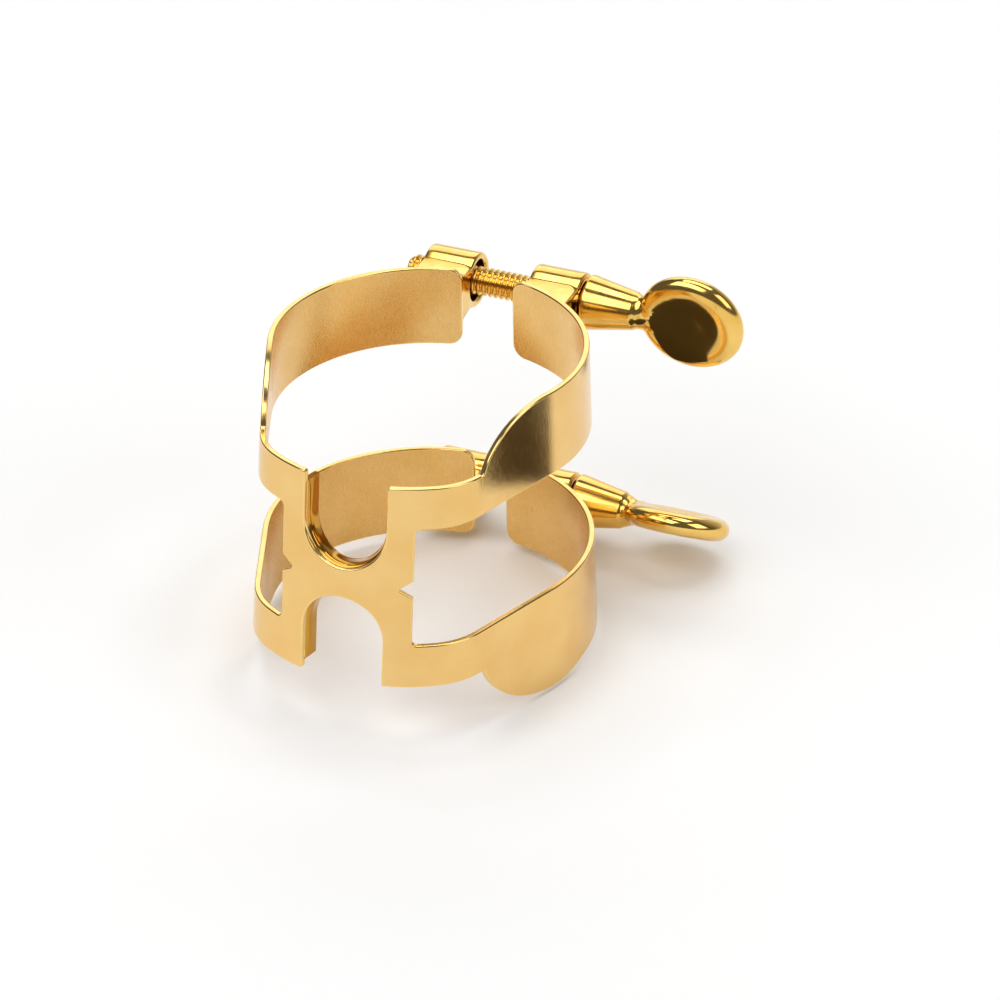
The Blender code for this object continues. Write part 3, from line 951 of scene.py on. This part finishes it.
def satin_gold(name, pale, warm, roughness, grain):
    """Fine satin plate: grain drawn out along the band, faint orange peel and soft shifts of tone."""
    material = bpy.data.materials.new(name)
    nodes = Nodes(material)
    shader = nodes.shader
    shader.inputs["Metallic"].default_value = 1.0
    flat = nodes.add("ShaderNodeUVMap", {"uv_map": "blank"}).outputs["UV"]
    streaks = nodes.noise(nodes.scaled(flat, (85.0, 13.0, 1.0)), 1.0, 3.0, 0.6).outputs["Fac"]
    specks = nodes.noise(flat, 95.0, 3.0, 0.7).outputs["Fac"]
    peel = nodes.noise(flat, 38.0, 2.0, 0.5).outputs["Fac"]
    broad = nodes.noise(flat, 2.2, 3.0, 0.5).outputs["Fac"]
    tone = nodes.ramp(broad, [(0.35, pale), (0.65, warm)])
    mix = nodes.add("ShaderNodeMix", {"data_type": "RGBA", "blend_type": "MULTIPLY"})
    mix.inputs["Factor"].default_value = 1.0
    nodes.put(mix.inputs["A"], tone)
    shade = nodes.ramp(specks, [(0.3, (0.90, 0.885, 0.86, 1.0)), (0.62, (1.0, 1.0, 1.0, 1.0))])
    nodes.put(mix.inputs["B"], shade)
    nodes.put(shader.inputs["Base Color"], mix.outputs["Result"])
    both = nodes.add("ShaderNodeMath", {"operation": "MULTIPLY"})
    nodes.put(both.inputs[0], streaks)
    nodes.put(both.inputs[1], specks)
    rub = nodes.span(both.outputs[0], roughness - 0.05, roughness + 0.07, 0.15, 0.4)
    nodes.put(shader.inputs["Roughness"], rub)
    rough = nodes.bump(peel, 0.12 * grain, 0.00002)
    rough = nodes.bump(specks, 0.6 * grain, 0.000008, rough)
    nodes.put(shader.inputs["Normal"], nodes.bump(streaks, 0.6 * grain, 0.000012, rough))
    return material


def polished_gold(name, pale, warm, roughness):
    """Mirror plate with faint polishing lines, softer patches and a slight ripple."""
    material = bpy.data.materials.new(name)
    nodes = Nodes(material)
    shader = nodes.shader
    shader.inputs["Metallic"].default_value = 1.0
    place = nodes.add("ShaderNodeTexCoord").outputs["Object"]
    ripple = nodes.noise(place, 260.0, 2.0, 0.5).outputs["Fac"]
    lines = nodes.noise(nodes.scaled(place, (900.0, 9000.0, 9000.0)), 1.0, 4.0, 0.7).outputs["Fac"]
    patches = nodes.noise(place, 420.0, 4.0, 0.6).outputs["Fac"]
    nodes.put(shader.inputs["Base Color"], nodes.ramp(patches, [(0.35, pale), (0.68, warm)]))
    nodes.put(shader.inputs["Roughness"], nodes.span(patches, roughness, roughness + 0.07, 0.4, 0.75))
    soft = nodes.bump(ripple, 0.12, 0.00002)
    nodes.put(shader.inputs["Normal"], nodes.bump(lines, 0.10, 0.000004, soft))
    return material


# --- studio ----------------------------------------------------------------------------------------

def plain_material(name, colour, roughness):
    material = bpy.data.materials.new(name)
    nodes = Nodes(material)
    place = nodes.add("ShaderNodeTexCoord").outputs["Object"]
    drift = nodes.noise(place, 12.0, 2.0, 0.5).outputs["Fac"]
    dim = tuple(channel * 0.985 for channel in colour[:3]) + (1.0,)
    nodes.put(nodes.shader.inputs["Base Color"], nodes.ramp(drift, [(0.3, dim), (0.7, colour)]))
    nodes.shader.inputs["Roughness"].default_value = roughness
    return material


def backdrop():
    """Pale floor that sweeps up behind the object."""
    floor = CAD_BOX[0][2] - FLOOR_DROP
    rows = [(-2.5, floor), (1.1, floor)]
    for step in range(1, 13):
        angle = math.radians(90 * step / 12)
        rows.append((1.1 + 0.9 * math.sin(angle), floor + 0.9 * (1 - math.cos(angle))))
    rows.append((2.0, 2.6))
    vertices = [(side * 3.2, y, z) for y, z in rows for side in (-1, 1)]
    faces = [(2 * row, 2 * row + 1, 2 * row + 3, 2 * row + 2) for row in range(len(rows) - 1)]
    mesh = bpy.data.meshes.new("studio_floor")
    mesh.from_pydata(vertices, [], faces)
    mesh.materials.append(plain_material("studio_paper", FLOOR_COLOUR, 0.85))
    mesh.shade_smooth()
    thing = bpy.data.objects.new("studio_floor", mesh)
    bpy.context.scene.collection.objects.link(thing)


def soft_box(name, place, size, power):
    lamp = bpy.data.lights.new(name, "AREA")
    lamp.shape = "RECTANGLE"
    lamp.size, lamp.size_y = size
    lamp.energy = power
    thing = bpy.data.objects.new(name, lamp)
    thing.location = place
    thing.rotation_euler = (-Vector(place)).to_track_quat("-Z", "Y").to_euler()
    bpy.context.scene.collection.objects.link(thing)


def dark_card(name, place, facing, size):
    """Black studio flag that only shows in reflections: it gives polished metal its dark side."""
    mesh = bpy.data.meshes.new(name)
    wide, tall = size[0] / 2 * MM, size[1] / 2 * MM
    corners = [(-wide, -tall, 0), (wide, -tall, 0), (wide, tall, 0), (-wide, tall, 0)]
    mesh.from_pydata(corners, [], [(0, 1, 2, 3)])
    mesh.materials.append(plain_material(name, CARD_COLOUR, 0.9))
    thing = bpy.data.objects.new(name, mesh)
    thing.location = Vector(place) * MM
    thing.rotation_euler = Vector(facing).to_track_quat("Z", "Y").to_euler()
    for ray in ("camera", "diffuse", "shadow", "transmission", "volume_scatter"):
        setattr(thing, f"visible_{ray}", False)
    bpy.context.scene.collection.objects.link(thing)


def surround():
    """Dim even room behind the soft boxes."""
    world = bpy.data.worlds.new("studio_air")
    bpy.context.scene.world = world
    world.use_nodes = True
    world.node_tree.nodes["Background"].inputs["Color"].default_value = (1.0, 1.0, 1.0, 1.0)
    world.node_tree.nodes["Background"].inputs["Strength"].default_value = 0.12


def camera():
    data = bpy.data.cameras.new("photo_view")
    data.sensor_width = 36.0
    data.lens = 145.86
    data.clip_start = 0.01
    thing = bpy.data.objects.new("photo_view", data)
    right = Vector((0.92503, 0.37986, 0.00565))
    up = Vector((-0.19939, 0.47280, 0.85831))
    turn = Matrix((right, up, right.cross(up))).transposed()
    thing.matrix_world = Matrix.Translation((0.111332, -0.258424, 0.166172)) @ turn.to_4x4()
    bpy.context.scene.collection.objects.link(thing)
    bpy.context.scene.camera = thing


def main():
    satin = satin_gold("satin_gold", *SATIN, 1.0)
    rim = polished_gold("bright_gold_edge", *EDGE)
    lining = satin_gold("satin_gold_inside", *LINING, 0.8)
    polished = polished_gold("polished_gold", *POLISHED)
    # The rail's darker amber colour is a painted reflection of the reed.
    rail = polished_gold("rail_gold_with_painted_reed_reflection", *RAIL_PAINTED_REED_REFLECTION)
    band_pieces((satin, rim, lining, rail))
    for level in ("upper", "lower"):
        post(level, "right", polished)
        post(level, "left", polished)
        thumb_screw(level, polished)
    backdrop()
    surround()
    for lamp in SOFT_BOXES:
        soft_box(*lamp)
    for card in DARK_CARDS:
        dark_card(*card)
    camera()
    bpy.context.scene.view_settings.view_transform = "Standard"


main()
